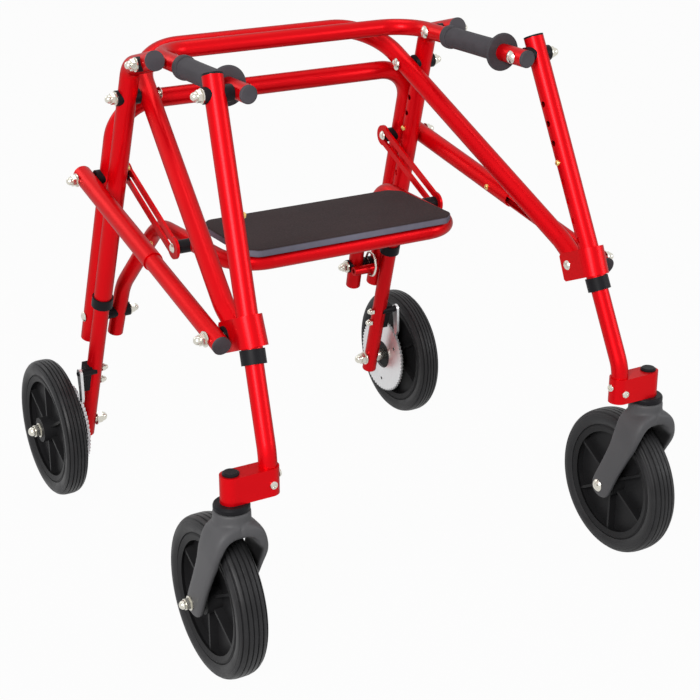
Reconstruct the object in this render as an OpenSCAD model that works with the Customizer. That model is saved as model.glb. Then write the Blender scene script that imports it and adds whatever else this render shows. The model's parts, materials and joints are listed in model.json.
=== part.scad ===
// Posterior walker: folding red tube frame, two front casters, two rear wheels and a fold-up seat.
// The user stands between the side frames, facing -Y. Floor at z = 0, sizes in mm.

/* [Tubes] */
// outside diameter of the frame tubes
tube_od = 25.4; // [24:0.1:27]
// wall of the frame tubes
tube_wall = 1.3; // [1.1:0.1:1.6]
// gap round a telescoping leg inside its tube
slide_gap = 0.3; // [0.25:0.05:0.4]
// wall of the telescoping legs and of the handle
leg_wall = 1.5; // [1.2:0.1:2]

/* [Frame] */
// height of the handle's centre line
handle_h = 667; // [650:1:690]
// half the distance between the two grips
handle_half = 195; // [190:0.5:197]
// distance from the centre to each axle, front and rear
half_wheelbase = 276; // [270:1:285]
// half the track of the rear wheels
rear_track = 297; // [296:0.5:300]
// half the track of the front casters
front_track = 302; // [301:0.5:305]
// how far a caster trails behind its stem
caster_trail = 44; // [42:0.5:46]

/* [Wheels] */
// outside diameter of all four wheels
wheel_d = 200; // [196:1:204]
// width of a front tyre
front_wheel_w = 38; // [35:0.5:40]
// width of a rear tyre
rear_wheel_w = 32; // [30:0.5:34]
// thickness of a spoke
spoke_t = 3.6; // [3:0.1:4.4]
// number of spokes in a rim
spokes = 6; // [5:1:8]
// teeth of the ratchet ring
ring_teeth = 60; // [48:2:72]

/* [Seat] */
// width of the seat board
seat_w = 310; // [290:1:316]
// depth of the seat board
seat_d = 150; // [140:1:156]
// thickness of the seat board
seat_t = 10; // [8:0.5:12]
// height of the seat tube's centre line
seat_h = 427; // [420:1:432]

/* [Fasteners] */
// diameter of the pivot bolts
bolt_d = 8; // [7:0.5:8]
// running clearance round a pivot bolt
run = 0.08; // [0.05:0.01:0.1]
// diameter of a snap button
button_d = 7.6; // [7:0.1:8]
// pitch of the adjusting holes
hole_pitch = 25.4; // [24:0.2:27]

/* [Hidden] */
$fn = 64;
tr = tube_od / 2;
ti = tr - tube_wall;
lr = ti - slide_gap;
li = lr - leg_wall;
br = bolt_d / 2;
pr = button_d / 2;
touch = 0.02;
// a bend draws the tube down a little; each straight runs a short lap into its bend
draw = 0.06;
lap = 0.5;
wr = wheel_d / 2;
hh = handle_h;
hx = handle_half;
stem_y = -half_wheelbase - caster_trail;
fork_top = wheel_d + 34.5;
bracket_z = fork_top + 8.5;
bracket_h = 34;

function unit(v) = v / norm(v);
function yz(p) = [p[1], p[2]];

// front upright axis: from its top down to the bend of the leg
f0 = [225.6, -146.4, hh + 19.5];
bracket_reach = 47;
f1 = [front_track - bracket_reach, stem_y, bracket_z + bracket_h + 11.6];
uf = unit(f1 - f0);
function on_front(t) = f0 + uf * t;
lean_f = atan2(-uf[1], -uf[2]);
fu_len = 318;
front_button_t = 162;

// rear upright axis: from the back pivot down to the rear axle
r0 = [225, 109, hh - 55];
r1 = [244, half_wheelbase, wr];
ur = unit(r1 - r0);
function on_rear(t) = r0 + ur * t;
lean_r = atan2(ur[1], -ur[2]);
ru_len = 319;
rear_button_t = 108;
rear_tip = [222.9, 22, hh + 6.5];

// legs of the lower crossbar tube, close behind the rear uprights
c_off = tube_od + 1;
function on_c(t) = on_rear(t) + [0, cos(lean_r), sin(lean_r)] * c_off;
c_top_t = 22.8;
c_end_t = 404.8;

// pivots, as [y, z]
p1 = yz(on_front(19.5 / -uf[2]));
p2 = [43, hh];
p3 = [-235, hh - 259];
p4 = yz(r0);
p5 = yz(on_c(133.8));
ps = yz(on_c(366));
front_x1 = on_front(19.5 / -uf[2])[0];
clamp_x = on_front(290)[0];
cheek_in = tr + 0.4;
cheek_out = cheek_in + 5;
c5_x = on_c(133.8)[0];
cs_x = on_c(366)[0];

// back frame tube
b_dir = unit([p4[0] - p3[0], p4[1] - p3[1]]);
function on_b(t) = [p3[0] + b_dir[0] * t, p3[1] + b_dir[1] * t];
b_len = norm([p4[0] - p3[0], p4[1] - p3[1]]);
b_x4 = 194.5;
b_flat = 42;
b_slope = (b_x4 - clamp_x) / (b_len - b_flat);
b_over = 85;

// struts
strut_gap = 1.3;
s3 = [clamp_x + cheek_out + strut_gap + lr + 0.4, p3[0], p3[1]];
s5 = [262, p5[0], p5[1]];
us = unit(s5 - s3);
function on_strut(t) = s3 + us * t;
strut_len = norm(s5 - s3);
strut_step = 184;
strut_cover = 86;
strut_tail = 18;
strut_button_t = 226;

// seat frame
seat_front = -74;
seat_x_front = 166;
seat_x_bend = 186;
d_leg = unit([0.07, sin(lean_r), -cos(lean_r)]);
seat_bend = [seat_x_bend, ps[0] - (seat_h - ps[1]) * tan(lean_r), seat_h];
function on_d(t) = seat_bend + d_leg * t;
ds_t = (seat_h - ps[1]) / -d_leg[2];
ds_x = on_d(ds_t)[0];
seat_knee = on_d(ds_t - 45);
rail_end = [seat_x_bend - 8, seat_knee[1] - (seat_h - seat_knee[2]) * 0.88, seat_h];
link_low = [34, seat_h];
rail_x = seat_x_front + (rail_end[0] - seat_x_front) * (link_low[0] - seat_front) / (rail_end[1] - seat_front);
link_in = 200.4;
link_out = 204.4;

// straight round bar from point p to point q
module seg(p, q, r) {
    d = q - p;
    translate(p)
        rotate([0, acos(d[2] / norm(d)), atan2(d[1], d[0])])
            cylinder(h = norm(d), r = r);
}

function turn(p, q, s) = acos(min(1, max(-1, unit(q - p) * unit(s - q))));
function cut(pts, rad, i) =
    (i == 0 || i == len(pts) - 1) ? 0 : rad[i] * tan(turn(pts[i - 1], pts[i], pts[i + 1]) / 2);

// bend of a bar at corner q between p and s
module elbow(p, q, s, bend, r) {
    a = turn(p, q, s);
    d1 = unit(q - p);
    d2 = unit(s - q);
    n = unit(cross(d1, d2));
    side = cross(n, d1);
    start = q - d1 * bend * tan(a / 2);
    centre = start + side * bend;
    ex = -side;
    ey = cross(n, ex);
    translate(centre)
        rotate([atan2(ey[2], n[2]), -asin(ex[2]), atan2(ex[1], ex[0])])
            rotate_extrude(angle = a)
                translate([bend, 0])
                    circle(r = r);
}

// bent round bar through the corner points
module rod(pts, rad, r) {
    for (i = [0 : len(pts) - 2]) {
        d = unit(pts[i + 1] - pts[i]);
        from = i == 0 ? 0 : cut(pts, rad, i) - lap;
        to = i == len(pts) - 2 ? 0 : cut(pts, rad, i + 1) - lap;
        seg(pts[i] + d * from, pts[i + 1] - d * to, r);
    }
    for (i = [1 : len(pts) - 2])
        elbow(pts[i - 1], pts[i], pts[i + 1], rad[i], r - draw);
}

// bent tube, open at both ends
module tube(pts, rad, ro, ri) {
    n = len(pts);
    first = pts[0] - unit(pts[1] - pts[0]);
    last = pts[n - 1] + unit(pts[n - 1] - pts[n - 2]);
    longer = [for (i = [0 : n - 1]) i == 0 ? first : i == n - 1 ? last : pts[i]];
    difference() {
        rod(pts, rad, ro);
        rod(longer, rad, ri);
    }
}

// round bar along X between x0 and x1 at [y, z]
module xbar(x0, x1, p, r) {
    translate([x0, p[0], p[1]])
        rotate([0, 90, 0])
            cylinder(h = x1 - x0, r = r);
}

module left() {
    mirror([1, 0, 0])
        children();
}

module both() {
    children();
    left()
        children();
}

// acorn nut with its flat face at x, pointing along dir
module acorn(x, p, dir, bore, s = 1) {
    translate([x, p[0], p[1]])
        rotate([0, 90 * dir, 0])
            difference() {
                union() {
                    cylinder(h = 5.6 * s, r = 7.6 * s, $fn = 6);
                    cylinder(h = 7.6 * s, r = 5.4 * s);
                    translate([0, 0, 7.6 * s])
                        sphere(r = 5.4 * s);
                }
                translate([0, 0, -1])
                    cylinder(h = 1 + 8.4 * s, r = bore + touch);
            }
}

// washer along X
module washer(x0, x1, p, r, bore) {
    difference() {
        xbar(x0, x1, p, r);
        xbar(x0 - 1, x1 + 1, p, bore + touch);
    }
}

// domed bolt head with its flat face at x, pointing along dir
module dome_head(x, p, dir, r) {
    translate([x, p[0], p[1]])
        rotate([0, 90 * dir, 0])
            intersection() {
                translate([0, 0, -r * 0.75])
                    sphere(r = r * 1.25);
                cylinder(h = r, r = r);
            }
}

// side frames

module front_upright() {
    color("#d3141c")
        difference() {
            seg(f0, on_front(fu_len), tr);
            seg(f0 - uf, on_front(fu_len + 1), ti);
            xbar(front_x1 - 30, front_x1 + 30, p1, br + run);
            for (k = [-3 : 5])
                let (q = on_front(front_button_t + k * hole_pitch))
                    xbar(q[0] - 20, q[0], yz(q), pr + run);
        }
}

module clamp() {
    gap = norm([p3[0] - on_front(290)[1], p3[1] - on_front(290)[2]]);
    color("#c8101a")
        difference() {
            translate([clamp_x, p3[0], p3[1]])
                rotate([-lean_f, 0, 0])
                    difference() {
                        union() {
                            translate([0, -gap, -20.5])
                                cylinder(h = 36.5, r = cheek_out);
                            translate([-cheek_out, 0, 0])
                                rotate([90, 0, 90])
                                    linear_extrude(height = 2 * cheek_out)
                                        polygon([[-gap, -20.5], [9, -20.5], [12, -17.5], [12, 13], [9, 16], [-gap, 16]]);
                        }
                        translate([-cheek_in, -16.4, -30])
                            cube([2 * cheek_in, 60, 60]);
                    }
            seg(on_front(200), on_front(400), tr + touch);
            xbar(clamp_x - 40, clamp_x + 40, p3, br + touch);
        }
}

module front_cap() {
    union() {
        seg(f0 - uf * 2.4, f0, tr);
        seg(f0 - uf, f0 + uf * 10, ti - 0.05);
    }
}

module front_collar() {
    difference() {
        seg(on_front(313.6), on_front(331), tr + 2.2);
        seg(on_front(300), on_front(fu_len), tr + touch);
        seg(on_front(fu_len - 1), on_front(340), lr + 0.32);
    }
}

// washers shaped to the upright either side of the handle pivot
module front_saddles() {
    difference() {
        xbar(hx + lr + 0.3, front_x1, p1, 10);
        seg(f0, on_front(60), tr + touch);
        xbar(hx, front_x1 + 1, p1, br + run);
    }
    difference() {
        xbar(front_x1, front_x1 + tr + 3.4, p1, 10);
        seg(f0, on_front(60), tr + touch);
        xbar(front_x1 - 1, front_x1 + 40, p1, br + run);
    }
    difference() {
        xbar(clamp_x + cheek_out, clamp_x + cheek_out + strut_gap - 0.2, p3, 11);
        xbar(clamp_x, clamp_x + 60, p3, br + touch);
    }
}

module front_trim() {
    color("#2b2a2f")
        both() {
            front_cap();
            front_collar();
            front_saddles();
        }
}

module clamp_bolts() {
    x_in = clamp_x - cheek_out;
    x_out = s3[0] + lr + 0.7;
    color("#c9ccd0")
        both() {
            union() {
                xbar(x_in - 0.5, x_out + 8, p3, br);
                dome_head(x_in, p3, -1, 6.5);
            }
            washer(x_out, x_out + 1.5, p3, 9.5, br);
            acorn(x_out + 1.5, p3, 1, br);
        }
}

// handle bar

handle_front = -174;
handle_back = 101;

module handle_tube() {
    pts = [[hx, handle_front, hh], [hx, handle_back, hh], [-hx, handle_back, hh], [-hx, handle_front, hh]];
    color("#d3141c")
        difference() {
            tube(pts, [0, 48, 48, 0], lr, li);
            both() {
                xbar(hx - 20, hx + 20, p1, br + touch);
                xbar(hx - 20, hx + 20, p2, br + touch);
            }
        }
}

module grip() {
    g = lr + touch;
    color("#3b383d")
        translate([hx, -124, hh])
            rotate([-90, 0, 0])
                rotate_extrude()
                    polygon([[g, 0], [22.9, 0], [24, 1], [24.3, 2.5], [24.3, 4], [23.6, 5.2], [20.5, 6.4], [16.4, 8.4],
                        [14.4, 11.5], [13.8, 17], [13.7, 60], [13.8, 113], [14.2, 115], [15.3, 116], [15.6, 117.5],
                        [15.6, 123], [14.8, 124.6], [13.6, 125], [g, 125]]);
}

module handle_caps() {
    color("#2b2a2f")
        both()
            translate([hx, handle_front, hh])
                rotate([90, 0, 0])
                    union() {
                        cylinder(h = 2, r = lr);
                        translate([0, 0, 2])
                            cylinder(h = 1.4, r1 = lr, r2 = lr - 1.6);
                        translate([0, 0, -9])
                            cylinder(h = 9.5, r = li - 0.05);
                    }
}

module handle_bolts() {
    x_out = front_x1 + tr + 3.6;
    color("#c9ccd0")
        both() {
            union() {
                xbar(hx - lr - 0.5, x_out + 9, p1, br);
                dome_head(hx - lr, p1, -1, 8.4);
            }
            washer(x_out, x_out + 1.5, p1, 9, br);
            acorn(x_out + 1.5, p1, 1, br);
            union() {
                xbar(hx - lr - 0.5, hx + lr - 0.1, p2, br);
                dome_head(hx - lr, p2, -1, 8.4);
            }
        }
}

// back frame

module back_tube() {
    e0 = on_b(-10);
    e1 = on_b(b_flat);
    k = on_b(b_len + b_over);
    kx = b_x4 + b_slope * b_over;
    pts = [[clamp_x, e0[0], e0[1]], [clamp_x, e1[0], e1[1]], [kx, k[0], k[1]],
        [-kx, k[0], k[1]], [-clamp_x, e1[0], e1[1]], [-clamp_x, e0[0], e0[1]]];
    color("#d3141c")
        difference() {
            tube(pts, [0, 60, 75, 75, 60, 0], tr, ti);
            both() {
                xbar(clamp_x - 20, clamp_x + 20, p3, br + run);
                xbar(b_x4 - 20, b_x4 + 20, p4, br + run);
            }
        }
}

// rear frame

module rear_upright() {
    color("#d3141c")
        difference() {
            tube([rear_tip, on_rear(-44.6), on_rear(ru_len)], [0, 24, 0], tr, ti);
            xbar(r0[0] - 35, r0[0] + 35, p4, br + touch);
            xbar(r0[0] - 35, r0[0] + 35, p2, br + touch);
            for (k = [-2 : 4])
                let (q = on_rear(rear_button_t + k * hole_pitch))
                    xbar(q[0] - 20, q[0], yz(q), pr + run);
        }
}

module lower_tube() {
    a = on_c(c_end_t);
    b = on_c(c_top_t);
    pts = [a, b, [-b[0], b[1], b[2]], [-a[0], a[1], a[2]]];
    color("#d3141c")
        difference() {
            tube(pts, [0, 55, 55, 0], tr, ti);
            both() {
                xbar(c5_x - 20, c5_x + 20, p5, br + touch);
                xbar(cs_x - 20, cs_x + 20, ps, br + touch);
            }
        }
    frame_webs();
}

// plates welded between each rear upright and the lower tube
module frame_webs() {
    color("#c8101a")
        both()
            for (t = [100, 190, 285])
                difference() {
                    translate(on_rear(t))
                        rotate([lean_r, 0, 0])
                            translate([-6, 0, -20])
                                cube([12, c_off, 40]);
                    seg(on_rear(t - 60), on_rear(t + 60), tr + touch);
                    seg(on_c(t - 60), on_c(t + 60), tr + touch);
                }
}

module rear_cap() {
    d = unit(rear_tip - on_rear(-44.6));
    union() {
        seg(rear_tip, rear_tip + d * 2.6, tr);
        seg(rear_tip - d * 9, rear_tip + d, ti - 0.05);
    }
}

module rear_collar() {
    difference() {
        seg(on_rear(ru_len - 4), on_rear(ru_len + 11), tr + 2.2);
        seg(on_rear(ru_len - 10), on_rear(ru_len), tr + touch);
        seg(on_rear(ru_len - 1), on_rear(ru_len + 20), lr + 0.32);
        seg(on_c(ru_len - 30), on_c(ru_len + 40), tr + touch);
    }
}

// washer between x0 and x1 on a tube, hollowed by the bar a to b
module saddle(x0, x1, p, a, b, r = 10) {
    difference() {
        xbar(x0, x1, p, r);
        seg(a, b, tr + touch);
        xbar(x0 - 1, x1 + 1, p, br + touch);
    }
}

b4_out = b_x4 + tr + 1.8;
p2_x = rear_tip[0];

module rear_saddles() {
    tip_dir = unit(on_rear(-44.6) - rear_tip);
    saddle(b4_out, r0[0], p4, on_rear(-20), on_rear(40));
    saddle(r0[0], r0[0] + tr + 3.2, p4, on_rear(-20), on_rear(40));
    saddle(hx + lr + 0.3, p2_x, p2, rear_tip, rear_tip + tip_dir * 50, 9.5);
    saddle(p2_x, p2_x + tr + 3.2, p2, rear_tip, rear_tip + tip_dir * 50, 9.5);
    saddle(c5_x, s5[0] - tr - 0.7, p5, on_c(100), on_c(170));
    saddle(link_out + 0.3, c5_x, p5, on_c(100), on_c(170));
    saddle(ds_x + lr + 9, cs_x, ps, on_c(330), on_c(400));
}

module rear_trim() {
    color("#2b2a2f")
        both() {
            rear_cap();
            rear_collar();
            rear_saddles();
        }
}

module rear_bolts() {
    x4 = r0[0] + tr + 3.2;
    x2 = p2_x + tr + 3.2;
    b4_in = b_x4 - tr - 1.6;
    xs_in = ds_x - lr - 4.6;
    xs_out = cs_x + tr + 0.4;
    color("#c9ccd0")
        both() {
            union() {
                xbar(b4_in - 0.5, x4 + 9, p4, br);
                dome_head(b4_in, p4, -1, 8.4);
            }
            washer(x4, x4 + 1.5, p4, 9, br);
            acorn(x4 + 1.5, p4, 1, br);
            xbar(hx + lr + 0.3, x2 + 9, p2, br);
            washer(x2, x2 + 1.5, p2, 9, br);
            acorn(x2 + 1.5, p2, 1, br);
            xbar(link_out + 0.3, s5[0] - tr - 0.7, p5, br);
            dome_head(link_in - 0.4, p5, -1, 6.6);
            union() {
                xbar(xs_in - 9, xs_out + 0.5, ps, br);
                dome_head(xs_out, ps, 1, 7.4);
            }
            washer(ds_x + lr + 8.2, ds_x + lr + 9, ps, 9.5, br);
            washer(xs_in - 1.5, xs_in, ps, 9.5, br);
            acorn(xs_in - 1.5, ps, -1, br);
        }
}

// struts

module strut_inner_one() {
    difference() {
        seg(on_strut(-strut_tail), on_strut(strut_step + strut_cover), lr);
        seg(on_strut(-strut_tail - 1), on_strut(strut_step + strut_cover + 1), li);
        xbar(s3[0] - 20, s3[0] + 20, p3, br + run);
        translate(on_strut(strut_button_t - 112))
            rotate([atan2(us[2], us[1]), 0, 0])
                translate([-20, 0, -pr - 0.6])
                    cube([20, 118, 2 * pr + 1.2]);
    }
}

module strut_inner() {
    color("#d3141c")
        both()
            strut_inner_one();
}

module strut_caps() {
    color("#2b2a2f")
        both()
            union() {
                seg(on_strut(-strut_tail - 3), on_strut(-strut_tail), lr);
                seg(on_strut(-strut_tail - 1), on_strut(-strut_tail + 8), li - 0.05);
            }
}

module strut_outer() {
    q = on_strut(strut_button_t);
    color("#d3141c")
        difference() {
            seg(on_strut(strut_step), on_strut(strut_len + 14), tr);
            seg(on_strut(strut_step - 1), on_strut(strut_len + 11), ti);
            xbar(s5[0] - 20, s5[0] + 20, p5, br + touch);
            xbar(q[0] - 20, q[0], yz(q), pr + run);
        }
}

module strut_nuts() {
    x = s5[0] + tr + 0.45;
    color("#c9ccd0") {
        xbar(s5[0] - tr + 0.2, x + 8, p5, br);
        washer(x, x + 1.5, p5, 9, br);
        acorn(x + 1.5, p5, 1, br);
    }
}

// seat

module seat_tube() {
    end = on_d(ds_t + 38);
    k = seat_knee;
    e = rail_end;
    pts = [end, k, e, [seat_x_front, seat_front, seat_h], [-seat_x_front, seat_front, seat_h],
        [-e[0], e[1], e[2]], [-k[0], k[1], k[2]], [-end[0], end[1], end[2]]];
    color("#d3141c")
        difference() {
            tube(pts, [0, 80, 60, 50, 50, 60, 80, 0], lr, li);
            both() {
                xbar(ds_x - 20, ds_x + 20, ps, br + run);
                xbar(rail_x, rail_x + 20, link_low, br + touch);
            }
        }
    seat_stop();
}

module seat_board() {
    w = seat_w / 2;
    c = 15;
    y0 = seat_front - 14;
    y1 = y0 + seat_d;
    color("#352d2e")
        translate([0, 0, seat_h + lr])
            linear_extrude(height = seat_t)
                polygon([[-w + c, y0], [w - c, y0], [w, y0 + c], [w, y1 - c],
                    [w - c, y1], [-w + c, y1], [-w, y1 - c], [-w, y0 + c]]);
}

module seat_bolts() {
    color("#c9ccd0")
        both()
            union() {
                xbar(rail_x, link_out + 0.9, link_low, br);
                dome_head(link_out + 0.4, link_low, 1, 6.6);
            }
    color("#c9ccd0")
        seat_wire();
}

module seat_saddles() {
    color("#2b2a2f")
        both() {
            difference() {
                xbar(ds_x, ds_x + lr + 8, ps, 10);
                seg(on_d(ds_t - 40), on_d(ds_t + 30), lr + touch);
                xbar(ds_x - 1, ds_x + 40, ps, br + run);
            }
            difference() {
                xbar(ds_x - lr - 4.3, ds_x, ps, 10);
                seg(on_d(ds_t - 40), on_d(ds_t + 30), lr + touch);
                xbar(ds_x - 40, ds_x + 1, ps, br + run);
            }
            difference() {
                xbar(rail_x, link_in - 0.4, link_low, 9);
                seg([seat_x_front, seat_front, seat_h], rail_end, lr + touch);
                xbar(rail_x - 1, link_in + 1, link_low, br + touch);
            }
        }
}

stop_p = [ps[0] - lr - 6.8, ps[1] - 3];

// short sleeve welded in front of the right seat leg
module seat_stop() {
    color("#c8101a")
        difference() {
            xbar(ds_x - 14, ds_x + 27, stop_p, 7);
            xbar(ds_x - 15, ds_x + 28, stop_p, 3.6);
            seg(on_d(ds_t - 40), on_d(ds_t + 30), lr + touch);
        }
}

// wire clip round the sleeve
module seat_wire() {
    x = ds_x + lr + 5.5;
    c = [x, ps[0], ps[1]];
    pts = [c + [0, -3.2, 9.1], c + [0, -12, 24], c + [0, -30, 20], c + [0, -34, 2],
        c + [0, -28, -12], c + [0, -16, -14]];
    difference() {
        rod(pts, [0, 8, 10, 12, 8, 0], 1.8);
        xbar(x - 10, x + 10, ps, 10 + touch);
    }
}

module links() {
    d = [p5[0] - link_low[0], p5[1] - link_low[1]];
    n = norm(d);
    color("#c8101a")
        both()
            translate([link_in, link_low[0], link_low[1]])
                rotate([atan2(d[1], d[0]), 0, 0])
                    rotate([90, 0, 90])
                        linear_extrude(height = link_out - link_in)
                            difference() {
                                union() {
                                    circle(r = 15);
                                    translate([0, -13])
                                        square([n, 26]);
                                    translate([n, 0])
                                        circle(r = 15);
                                }
                                union() {
                                    circle(r = 4.6);
                                    translate([0, -4.6])
                                        square([n, 9.2]);
                                    translate([n, 0])
                                        circle(r = 4.6);
                                }
                            }
}

// front legs and casters

module front_leg() {
    top_t = front_button_t - 22;
    q = on_front(front_button_t);
    color("#d3141c")
        difference() {
            tube([on_front(top_t), f1, [f1[0], f1[1], bracket_z + 2]], [0, 60, 0], lr, li);
            translate(q)
                rotate([-lean_f, 0, 0])
                    translate([-20, -pr - 0.6, -6])
                        cube([20, 2 * pr + 1.2, 40]);
        }
}

stem_r = 6;
bracket_r = 13.2;

module caster_bracket() {
    color("#c8101a")
        difference() {
            translate([0, stem_y, bracket_z])
                linear_extrude(height = bracket_h)
                    difference() {
                        union() {
                            translate([front_track, 0])
                                circle(r = bracket_r);
                            translate([f1[0], 0])
                                circle(r = bracket_r);
                            translate([f1[0], -bracket_r])
                                square([front_track - f1[0], 2 * bracket_r]);
                        }
                        translate([f1[0], 0])
                            circle(r = lr + touch);
                        translate([front_track, 0])
                            circle(r = stem_r + 0.1);
                    }
            translate([f1[0], stem_y, bracket_z + bracket_h * 0.42])
                rotate([90, 0, 0])
                    cylinder(h = 40, r = 2.5 + touch);
            xbar(f1[0] - 40, f1[0], [stem_y, bracket_z + bracket_h * 0.62], 2.5 + touch);
        }
}

module bracket_bolts() {
    color("#c9ccd0") {
        translate([f1[0], stem_y - lr - 0.1, bracket_z + bracket_h * 0.42])
            rotate([90, 0, 0])
                set_bolt();
        translate([f1[0] - lr - 0.1, stem_y, bracket_z + bracket_h * 0.62])
            rotate([0, -90, 0])
                set_bolt();
    }
}

// set bolt from the leg's wall out to its low head
module set_bolt() {
    out = bracket_r - lr - 0.1;
    rotate_extrude()
        polygon([[0, 0], [2.5, 0], [2.5, out], [4.8, out], [4.8, out + 1.2], [4.2, out + 2.4], [2.6, out + 2.9],
            [2.2, out + 1.8], [0, out + 1.8]]);
}

module stem_plugs() {
    color("#2b2a2f")
        translate([front_track, stem_y, 0]) {
            translate([0, 0, bracket_z + bracket_h])
                union() {
                    cylinder(h = 2, r = 10);
                    translate([0, 0, 2])
                        cylinder(h = 1.6, r1 = 10, r2 = 8.2);
                }
            translate([0, 0, fork_top + 0.4])
                rotate_extrude()
                    polygon([[stem_r + 0.4, 0], [20.6, 0], [21.5, 1], [21.5, 5], [20.9, 6.8], [19.5, 8.1],
                        [stem_r + 0.4, 8.1]]);
        }
}

fork_w = front_wheel_w + 34;
axle_y = stem_y + caster_trail;

module fork() {
    slot = front_wheel_w + 12;
    color("#55565a")
        difference() {
            union() {
                translate([front_track - fork_w / 2, 0, 0])
                    rotate([90, 0, 90])
                        linear_extrude(height = fork_w)
                            union() {
                                polygon([[stem_y - 21, fork_top - 12], [stem_y - 25, fork_top - 28],
                                    [stem_y - 22, fork_top - 48], [stem_y - 3, wr + 51], [axle_y - 22, wr + 6],
                                    [axle_y + 13.5, wr + 1], [axle_y - 8, wr + 48], [axle_y - 34, fork_top - 34],
                                    [stem_y + 18, fork_top - 20], [stem_y + 22, fork_top - 12]]);
                                translate([axle_y - 4, wr + 1])
                                    circle(r = 17.5);
                            }
                translate([front_track, stem_y, fork_top - 28])
                    cylinder(h = 28, r = 22.5);
            }
            xbar(front_track - slot / 2, front_track + slot / 2, [axle_y, wr], wr + 5);
            translate([front_track - slot / 2, axle_y - 60, wr - 60])
                cube([slot, 120, 60]);
            translate([front_track, stem_y, fork_top - 24])
                cylinder(h = 40, r = stem_r + touch);
            xbar(front_track - 60, front_track + 60, [axle_y, wr], 5 + touch);
        }
}

module fork_axle() {
    x0 = front_track - fork_w / 2;
    x1 = front_track + fork_w / 2;
    p = [axle_y, wr];
    color("#c9ccd0") {
        translate([front_track, stem_y, fork_top - 24])
            cylinder(h = bracket_z + bracket_h - 3 - fork_top + 24, r = stem_r);
        union() {
            xbar(x0 - 0.5, x1 + 6, p, 5);
            dome_head(x0, p, -1, 8.6);
        }
        washer(x1, x1 + 1.5, p, 9, 5);
        acorn(x1 + 1.5, p, 1, 5);
    }
}

// wheels, turned about X at the wheel's middle

module rim(x, p, w, hub_w, hub_in, flange, bore) {
    color("#232325")
        translate([x, p[0], p[1]])
            rotate([0, 90, 0])
                difference() {
                    union() {
                        rotate_extrude()
                            polygon([[70, -w / 2 + 4], [77, -w / 2 + 2], [80, -w / 2 + 4], [80, w / 2 - 4],
                                [77, w / 2 - 2], [70, w / 2 - 4], [73, w / 2 - 9], [73, -w / 2 + 9]]);
                        translate([0, 0, -hub_in])
                            cylinder(h = hub_in + hub_w / 2, r = 18);
                        translate([0, 0, -hub_in])
                            cylinder(h = 3, r = flange);
                        cylinder(h = 4, r = 74, center = true);
                        for (i = [0 : spokes - 1])
                            rotate([0, 0, i * 360 / spokes])
                                translate([12, -spoke_t / 2, -w / 2 + 6])
                                    cube([61.5, spoke_t, w - 12]);
                    }
                    cylinder(h = 2 * hub_in + 4, r = bore + run, center = true);
                }
}

module tyre(x, p, w) {
    g = w / 12;
    color("#2f2f32")
        translate([x, p[0], p[1]])
            rotate([0, 90, 0])
                difference() {
                    rotate_extrude()
                        polygon([[80 + 3 * touch, -w / 2 + 3], [83, -w / 2 + 0.6], [88, -w / 2], [93, -w / 2 + 0.8],
                            [97, -w / 2 + 4], [wr - 0.9, -w / 2 + 8], [wr, -w / 2 + 12], [wr, w / 2 - 12],
                            [wr - 0.9, w / 2 - 8], [97, w / 2 - 4], [93, w / 2 - 0.8], [88, w / 2],
                            [83, w / 2 - 0.6], [80 + 3 * touch, w / 2 - 3]]);
                    for (k = [-2 : 2])
                        rotate_extrude()
                            polygon([[wr - 2.2, k * g * 1.6 - 0.8], [wr + 1, k * g * 1.6 - 1.2],
                                [wr + 1, k * g * 1.6 + 1.2], [wr - 2.2, k * g * 1.6 + 0.8]]);
                }
}

rear_p = [half_wheelbase, wr];
front_hub = front_wheel_w + 5;
rear_hub = rear_wheel_w + 10;
hub_in = rear_hub / 2 + 8;
ring_x = rear_track - hub_in - 4;

module front_rim() {
    rim(front_track, [axle_y, wr], front_wheel_w, front_hub, front_hub / 2, 15, 5);
}

module rear_rim() {
    rim(rear_track, rear_p, rear_wheel_w, rear_hub, hub_in, 30, 6);
}

module ratchet() {
    color("#b9bcc0")
        translate([ring_x, rear_p[0], rear_p[1]])
            rotate([90, 0, 90])
                linear_extrude(height = 4)
                    difference() {
                        polygon([for (i = [0 : ring_teeth - 1]) each [
                            [60.5 * cos(i * 360 / ring_teeth), 60.5 * sin(i * 360 / ring_teeth)],
                            [57.3 * cos((i + 0.75) * 360 / ring_teeth), 57.3 * sin((i + 0.75) * 360 / ring_teeth)]]]);
                        circle(r = 22.5);
                        for (i = [0 : 2])
                            rotate(i * 120 + 30)
                                translate([42, 0])
                                    circle(r = 2.6);
                    }
}

// rear legs

// middle of the clevis on the leg, by its height over the axle
clevis_t = (r0[2] - wr - 80.647823) / -ur[2];
pawl_p = [on_rear(clevis_t)[1] - 11.694948, wr + 91];

// the leg runs a little past the axle
rear_leg_end = norm(r1 - r0) + 23.117824;

module rear_leg() {
    q = on_rear(rear_button_t);
    color("#d3141c")
        difference() {
            seg(on_rear(rear_button_t - 12), on_rear(rear_leg_end), lr);
            seg(on_rear(rear_button_t - 13), on_rear(rear_leg_end + 1), li);
            xbar(r1[0] - 44, r1[0] + 46, rear_p, 6 + touch);
            for (t = [clevis_t - 10, clevis_t + 12])
                xbar(r1[0] - 44, r1[0] + 46, yz(on_rear(t)), 3 + touch);
            translate(q)
                rotate([lean_r, 0, 0])
                    translate([-20, -pr - 0.6, -6])
                        cube([20, 2 * pr + 1.2, 40]);
        }
}

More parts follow.
